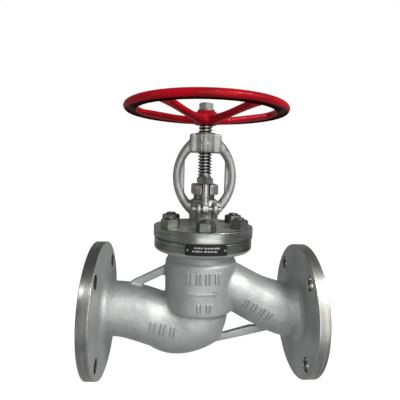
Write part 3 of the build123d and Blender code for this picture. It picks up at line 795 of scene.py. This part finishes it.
# Each nut stops at its own angle
nut_turns = (8, 41, 0, 22, 50, 30)
stud_meshes, nut_meshes = [], []
for index, nut_turn in enumerate(nut_turns):
    angle = radians(30 + 60 * index)
    x, y = STUD_CIRCLE * cos(angle), STUD_CIRCLE * sin(angle)
    stud = threaded_rod(STUD_RADIUS, 0.95, 2.0, nut_seat + 0.1, stud_top, ease=1.3)
    stud_meshes.append(placed(stud, at(x, y, 0) @ turned(37 * index, "Z")))
    nut = hexagon_nut(21.0, nut_top - nut_seat, STUD_RADIUS)
    nut_meshes.append(placed(nut, at(x, y, nut_seat) @ turned(nut_turn, "Z")))
finished("studs", join("studs", stud_meshes), fastener, "valve", ("bonnet_studs",))
finished("nuts", join("nuts", nut_meshes), fastener, "valve", ("bonnet_nuts",))


# --- Stem and yoke nut -----------------------------------------------------------------------

def stem_mesh():
    """Collar and neck that hold the disc, shank, lifting screw and the thread of the wheel's nut."""
    collar, neck = 12.0, 8.0
    thread_low, thread_high = 177.0, 246.0
    shank = lathe(eased([
        (0, stem_low, 0), (10, stem_low, 0), (collar, 44, 0.4), (collar, 50, 0.4), (neck, 50, 0),
        (neck, 66, 0), (collar, 66, 0.3), (collar, 69, 0.4), (STEM_RADIUS, 72, 0), (STEM_RADIUS, 176.4, 0),
        (STEM_RADIUS - 1, 177.4, 0), (0, 177.4, 0),
    ]), 96)
    screw = threaded_rod(STEM_RADIUS, 2.1, 4.0, thread_low, thread_high, 0.34, 0.36, ease=1.6, steps=96)
    stud_end = threaded_rod(6.0, 0.9, 1.75, thread_high - 0.5, stem_high, ease=1.1)
    return join("stem_screw", [shank, screw, stud_end])


finished("stem_screw", stem_mesh(), stem_metal, "stem", ("stem",), 28)
stem_hole = STEM_RADIUS + 0.05
bush_radius, bush_head = 12.0, 13.0
turned_piece("yoke_bush", [
    (stem_hole, yoke_nut_low, 0.6), (bush_radius, yoke_nut_low, 0.3), (bush_radius, 232.0, 0),
    (bush_head, 232.0, 0.2), (bush_head, yoke_nut_high, 0.4), (stem_hole, yoke_nut_high, 0.6),
], 96, brass, "valve", "yoke_nut")


# --- Gland -----------------------------------------------------------------------------------

gland_mesh = remeshed(["gland_flange"], 0.42)
move_points(gland_mesh, smoothed(gland_mesh, points_of(gland_mesh), 3))
finished("gland_plate", gland_mesh, bolt_metal, "valve", ("gland_flange",), 180)
sleeve_bore = STEM_RADIUS + 0.35
turned_piece("gland_sleeve", [
    (sleeve_bore, sleeve_low, 0.3), (sleeve_radius, sleeve_low, 0.4), (sleeve_radius, sleeve_high, 0.2),
    (sleeve_bore, sleeve_high, 0.3),
], 96, fastener, "valve", "gland_bush")


def eye_bolt():
    """Swing bolt along Z with its eye on the origin: a flattened round head and a threaded shank."""
    eye_bore, eye_radius, half_thick = PIN_RADIUS + 0.05, 7.2, 3.8
    head = lathe(eased([
        (eye_bore, -half_thick, 0.4), (eye_radius, -half_thick, 1.1), (eye_radius, half_thick, 1.1),
        (eye_bore, half_thick, 0.4),
    ], 5), 64)
    placed(head, turned(90, "Y"))
    shank, waist, waist_top = 4.95, 4.4, 14.2
    neck = lathe(eased([
        (3.4, 4.0, 0), (4.9, 5.6, 0), (waist, 8.4, 0.6), (waist, waist_top, 0), (shank, waist_top + 0.8, 0),
        (shank, 30.9, 0), (4.2, 31.6, 0), (0, 31.6, 0), (0, 4.0, 0),
    ]), 48)
    screw = threaded_rod(5.0, 0.8, 1.5, 31.3, bolt_length, steps=56)
    return join("eye_bolt", [head, neck, screw])


def pin_with_head():
    """Hinge pin along X: turned head at the low end, chamfered tip at the other."""
    head, half_length = 4.4, 18.5
    outline = eased([
        (0, -half_length, 0), (head, -half_length, 0.6), (head, -half_length + 2, 0.4),
        (PIN_RADIUS, -half_length + 2, 0), (PIN_RADIUS, half_length, 0.6), (0, half_length, 0),
    ])
    return placed(lathe(outline, 48), turned(90, "Y"))


def wire(path, radius):
    """Round wire through points in millimetres."""
    curve = bpy.data.curves.new("wire", "CURVE")
    curve.dimensions = "3D"
    curve.bevel_depth = radius * MM
    curve.bevel_resolution = 3
    curve.use_fill_caps = True
    spline = curve.splines.new("NURBS")
    spline.points.add(len(path) - 1)
    for place, (x, y, z) in zip(spline.points, path):
        place.co = (x * MM, y * MM, z * MM, 1)
    spline.order_u = 3
    spline.use_endpoint_u = True
    holder = bpy.data.objects.new("wire", curve)
    bpy.context.scene.collection.objects.link(holder)
    depsgraph = bpy.context.evaluated_depsgraph_get()
    mesh = bpy.data.meshes.new_from_object(holder.evaluated_get(depsgraph))
    bpy.data.objects.remove(holder)
    return mesh


def split_pin(x, y):
    """Split pin through the end of a hinge pin: an eye on top, two legs bent apart below."""
    # How far out and how far above the hinge pin's axis each leg goes
    leg = ((0, 7.9), (1.9, 8.3), (2.5, 6.4), (1.2, 4.6), (0.45, 3.4), (0.45, -1.0), (0.5, -3.8), (2.2, -5.6),
           (3.6, -6.4))
    return join("split_pin", [
        wire([(x, y + side * out, pin_z + up) for out, up in leg], 0.5) for side in (-1, 1)
    ])


cotter_meshes = []
for side, place in ((-1, "front"), (1, "rear")):
    y = side * swing_y
    swing = f"swing_{place}"
    bolt = placed(eye_bolt(), at(0, y, pin_z))
    finished(f"eye_bolt_{place}", bolt, bolt_metal, swing, (f"swing_bolt_{place}",))
    nut = hexagon_nut(17.0, clamp_top - clamp_seat, 5.0)
    placed(nut, at(0, y, clamp_seat) @ turned(30, "Z"))
    finished(f"clamp_nut_{place}", nut, fastener, swing, (f"gland_nut_{place}",))
    pin = placed(pin_with_head(), at(-side * 2.2, y, pin_z) @ turned(90 + 90 * side, "Z"))
    finished(f"hinge_pin_{place}", pin, bolt_metal, "valve", (f"swing_pin_{place}",))
    cotter_meshes.append(split_pin(-side * 17.4, y))
cotters = join("cotters", cotter_meshes)
finished("cotters", cotters, bolt_metal, "valve", ("split_pins",), 40)


# --- Nameplate -------------------------------------------------------------------------------

def bent_sheet(inner, outer, left, right, low, high, corner, columns):
    """Piece of sheet bent round the stem axis: angles in degrees from -Y, corners rounded off."""
    edge = 0.1
    verts = []
    for step in range(columns + 1):
        angle = left + (right - left) * step / columns
        from_end = min(step, columns - step) / columns * radians(right - left) * inner
        trim = corner - (corner ** 2 - max(corner - from_end, 0) ** 2) ** 0.5
        bottom, top = low + trim, high - trim
        turn = radians(angle - 90)
        section = ((inner, bottom), (outer - edge, bottom), (outer, bottom + edge), (outer, top - edge),
                   (outer - edge, top), (inner, top))
        verts += [(r * cos(turn), r * sin(turn), z) for r, z in section]
    return mesh_of(verts, skin_faces(columns + 1, len(section), closed=False))


end, behind = 22.5, neck_radius + 0.04
plate_mesh = bent_sheet(behind, sheet_radius, -end, end, plate_low, plate_high, 1.0, 48)
finished("plate", plate_mesh, plate_black, "valve", ("nameplate",))
# Rows of plain blocks where print would be, by the angles where each block begins and ends
upper_row = ((-12.8, -9.9), (-9.2, -6.6), (-5.9, -4.0), (-2.2, 0.6), (1.3, 3.2), (3.9, 7.4), (8.1, 13.6))
lower_row = ((-14.6, -12.2), (-11.5, -6.8), (-6.1, -4.4), (-2.8, 1.0), (1.7, 4.4), (5.1, 6.9), (7.6, 11.0))
inner, outer = sheet_radius - 0.04, sheet_radius + 0.04
print_meshes = []
for low, height, row in ((95.0, 1.9, upper_row), (91.2, 1.8, lower_row)):
    for left, right in row:
        print_meshes.append(bent_sheet(inner, outer, left, right, low, low + height, 0.2, 10))
finished("plate_print", join("plate_print", print_meshes), print_white, "valve")
rivet_z = (plate_low + plate_high) / 2
rivet_meshes = []
for angle in (-110, -70):
    # A short shank and a domed head, drawn outwards from the stem axis
    rivet = lathe([
        (0, 63.0), (1.2, 63.0), (1.2, 64.8), (1.75, 64.88), (1.65, 65.15), (1.3, 65.4), (0.7, 65.55), (0, 65.6),
    ], 32)
    rivet_meshes.append(placed(rivet, at(0, 0, rivet_z) @ turned(angle, "Z") @ turned(90, "Y")))
rivets = join("rivets", rivet_meshes)
finished("rivets", rivets, fastener, "valve", ("nameplate_rivets",), 40)


# --- Handwheel -------------------------------------------------------------------------------

def wheel_skin():
    """Hub and spokes in one cast skin; the spokes end inside the wall of the rim."""
    mesh = remeshed(["handwheel"], 0.9)
    points = points_of(mesh)
    inside_hub = np.hypot(points[:, 0], points[:, 1]) < 10.0
    move_points(mesh, smoothed(mesh, points, 9, np.where(inside_hub, 0.0, 1.0)))
    spoke_end = rim_circle - HOLLOW_WIDE
    work = bmesh.new()
    work.from_mesh(mesh)
    outside = [vert for vert in work.verts if hypot(vert.co.x, vert.co.y) > spoke_end * MM]
    bmesh.ops.delete(work, geom=outside, context="VERTS")
    work.to_mesh(mesh)
    work.free()
    return mesh


def oval(z, wide, tall, start, stop, step):
    """Points on an oval round the rim's circle at a level, by angles in degrees from outwards."""
    angles = [radians(t) for t in range(start, stop, step)]
    return [(rim_circle + wide * cos(t), z + tall * sin(t)) for t in angles]


finished("wheel", wheel_skin(), red, "stem", ("handwheel",), 180)
hollow_z = rim_z - HOLLOW_DROP
rim_outline = oval(rim_z, RIM_WIDE, RIM_TALL, -44, 225, 6)
rim_outline += oval(hollow_z, HOLLOW_WIDE, HOLLOW_TALL, 194, -15, -8)
wheel_rim = finished("wheel_rim", lathe(rim_outline, 256), red, "stem", ("handwheel",), 40)
# Painted shade: the hollow under the rim gets a near-black red, standing in for the shade up inside it
assign_by_face(wheel_rim, painted_shade_red, lambda place: hypot(
    (hypot(place.x, place.y) - rim_circle) / HOLLOW_WIDE, (place.z - hollow_z) / HOLLOW_TALL) < 1.03)
turned_piece("washer", [
    (6.3, washer_low, 0.2), (11.0, washer_low, 0.3), (11.0, washer_high, 0.4), (6.3, washer_high, 0.3),
], 64, fastener, "stem", "wheel_washer")
top_nut = hexagon_nut(18.0, wheel_nut_high - wheel_nut_low, 6.0)
placed(top_nut, at(0, 0, wheel_nut_low) @ turned(24, "Z"))
finished("top_nut", top_nut, fastener, "stem", ("wheel_nut",))


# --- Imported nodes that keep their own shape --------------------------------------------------

for node, material in (
    ("seat_ring", stem_metal), ("disc", stem_metal), ("disc_nut", fastener), ("back_seat_bush", stem_metal),
    ("yoke_nut_screw", fastener), ("packing_washer", stem_metal), ("packing_rings", graphite),
):
    nodes[node].data.materials.clear()
    nodes[node].data.materials.append(material)


# --- Floor, light and camera -----------------------------------------------------------------

def studio_floor():
    """Pale sheet that the flanges stand on, bright enough to run out into a white background."""
    level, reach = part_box("inlet_flange")[0].z, 40.0
    sheet = bpy.data.meshes.new("floor")
    corners = [(x * reach, y * reach, level) for x, y in ((-1, -1), (1, -1), (1, 1), (-1, 1))]
    sheet.from_pydata(corners, [], [(0, 1, 2, 3)])
    pale, tree, shader, place = start_material("pale_floor", 0.0, 0.8, (0.25, 0.25, 0.25))
    mottle = blend_colour(tree, noise(tree, place, 1.5, 2), (0.26, 0.26, 0.26), (0.24, 0.24, 0.24))
    tree.links.new(mottle, shader.inputs["Base Color"])
    shader.inputs["Specular IOR Level"].default_value = 0.0
    shader.inputs["Emission Color"].default_value = (1, 1, 1, 1)
    shader.inputs["Emission Strength"].default_value = 0.955
    floor = bpy.data.objects.new("floor", sheet)
    floor.data.materials.append(pale)
    bpy.context.scene.collection.objects.link(floor)
    # The valve takes its light from the room, not from the sheet
    floor.visible_diffuse = False
    floor.visible_glossy = False
    floor.visible_shadow = False
    return floor


floor = studio_floor()


def soft_light(name, azimuth, height, distance, width, tall, power):
    """Softbox aimed at the valve: azimuth is degrees right of the front, height degrees up."""
    light = bpy.data.lights.new(name, "AREA")
    light.shape = "RECTANGLE"
    light.size, light.size_y = width, tall
    light.energy = power
    holder = bpy.data.objects.new(name, light)
    target = Vector((0, 0, 0.06))
    side, up = radians(azimuth), radians(height)
    out = Vector((sin(side) * cos(up), -cos(side) * cos(up), sin(up)))
    holder.location = target + out * distance
    holder.rotation_euler = (-out).to_track_quat("-Z", "Y").to_euler()
    holder.visible_camera = False
    bpy.context.scene.collection.objects.link(holder)


soft_light("panel", 11, 2, 1.5, 1.45, 1.45, 13)
soft_light("key", 42, 40, 1.5, 0.50, 0.30, 15)
soft_light("spot_left", -29, 40, 1.5, 0.10, 0.08, 1.5)
soft_light("spot_middle", 11, 40, 1.5, 0.16, 0.10, 4.5)
soft_light("spot_right", 56, 40, 1.5, 0.12, 0.10, 3.0)
soft_light("right_fill", 66, 26, 1.6, 0.5, 0.7, 3.0)
soft_light("left_fill", -70, 8, 1.7, 0.4, 0.8, 1.8)


def grey(level):
    """Neutral colour of one level."""
    return (level, level, level)


def studio_room():
    """Room round the valve: dark overhead and behind the camera, brighter beyond, pale below."""
    world = bpy.data.worlds.new("studio")
    bpy.context.scene.world = world
    world.use_nodes = True
    sky = world.node_tree
    parts = sky.nodes.new("ShaderNodeSeparateXYZ")
    direction = sky.nodes.new("ShaderNodeTexCoord").outputs["Generated"]
    sky.links.new(direction, parts.inputs[0])
    beyond, upward = parts.outputs[1], parts.outputs[2]
    around = blend_colour(sky, spread(sky, beyond, -0.7, 0.7, 0.0, 1.0), grey(0.055), grey(0.32))
    upper = blend_colour(sky, spread(sky, upward, 0.2, 0.8, 0.0, 1.0), around, grey(0.16))
    whole = blend_colour(sky, spread(sky, upward, -0.45, 0.02, 0.0, 1.0), grey(0.43), upper)
    # Seen directly it is a white background
    seen = sky.nodes.new("ShaderNodeLightPath").outputs["Is Camera Ray"]
    background = sky.nodes["Background"]
    sky.links.new(blend_colour(sky, seen, whole, grey(1.0)), background.inputs["Color"])
    background.inputs["Strength"].default_value = 1.0


def photo_camera():
    """Camera a little above the middle of the valve and close in, turned slightly to the right."""
    data = bpy.data.cameras.new("camera")
    data.sensor_width = 36.0
    data.lens = 31.09
    camera = bpy.data.objects.new("camera", data)
    yaw, pitch, roll = 0.0590, -0.0804, 0.026
    forward = Vector((sin(yaw) * cos(pitch), cos(yaw) * cos(pitch), sin(pitch)))
    level = Vector((cos(yaw), -sin(yaw), 0))
    upright = level.cross(forward)
    across = level * cos(roll) + upright * sin(roll)
    over = upright * cos(roll) - level * sin(roll)
    turn = Matrix((across, over, -forward)).transposed().to_4x4()
    camera.matrix_world = Matrix.Translation((-0.03190, -0.45292, 0.18290)) @ turn
    bpy.context.scene.collection.objects.link(camera)
    bpy.context.scene.camera = camera


studio_room()
photo_camera()
bpy.context.scene.view_settings.view_transform = "Standard"
